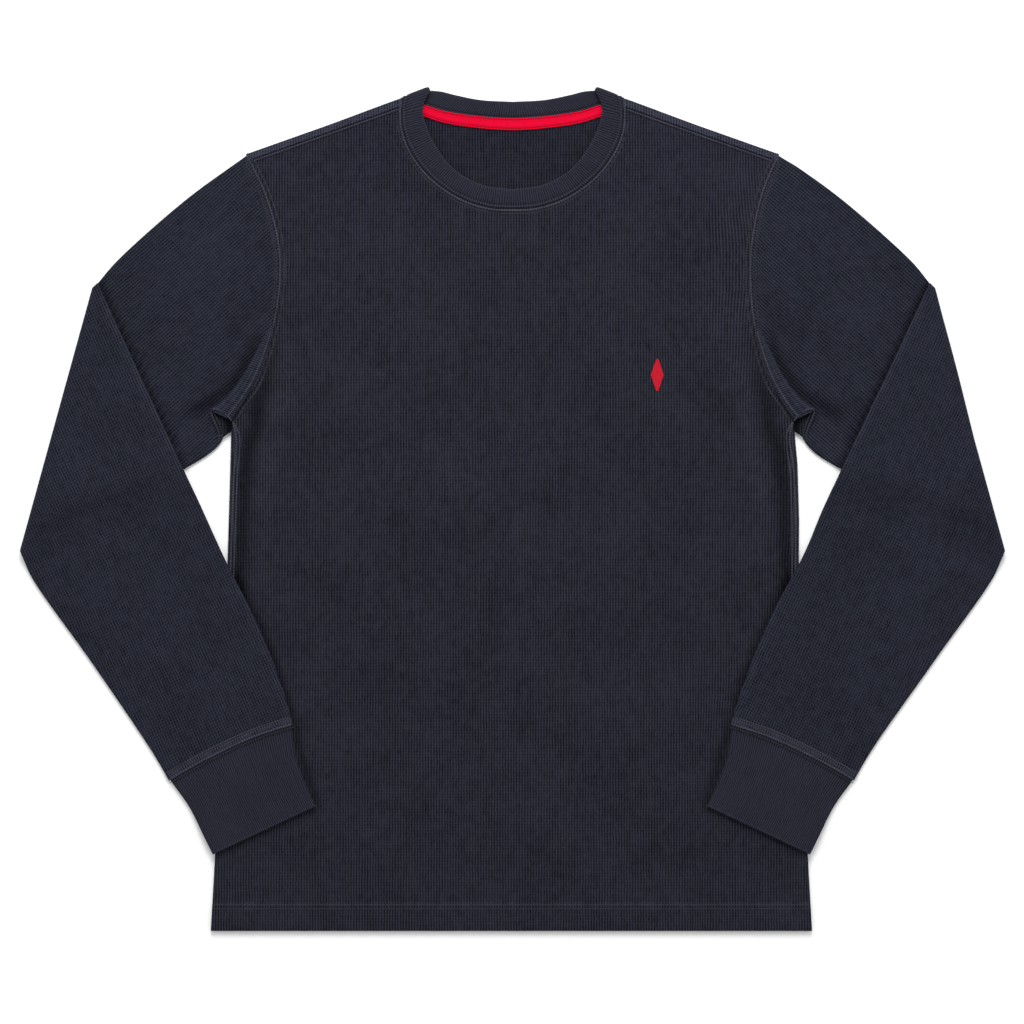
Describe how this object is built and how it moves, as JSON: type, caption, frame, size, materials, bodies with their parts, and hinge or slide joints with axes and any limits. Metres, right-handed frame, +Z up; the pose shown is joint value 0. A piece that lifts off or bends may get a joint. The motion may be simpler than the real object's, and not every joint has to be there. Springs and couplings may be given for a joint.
{
  "type": "long-sleeved thermal top",
  "caption": "Waffle-knit crew neck thermal top laid flat on its back, set-in sleeves folded over at the elbow, ribbed neckband and cuffs, turned-up hem, taped back neck seam.",
  "frame": {"origin": "on the surface the top lies on, under the middle of its length and width", "axes": "+X towards the viewer's right across the chest, +Y from the hem towards the neck, +Z up from the surface through the front of the garment"},
  "size_m": [0.856, 0.7336, 0.0081],
  "materials": {
    "waffle_knit": "matte charcoal navy cotton waffle knit",
    "rib_knit": "matte charcoal navy cotton 1x1 rib knit",
    "red_tape": "matte red woven cotton tape"
  },
  "bodies": {
    "root": {"back_panel": "waffle_knit", "front_panel": "waffle_knit", "sleeve_left": "waffle_knit", "sleeve_right": "waffle_knit", "cuff_left": "rib_knit", "cuff_right": "rib_knit", "neckband": "rib_knit", "neck_tape": "red_tape"}
  },
  "joints": []
}
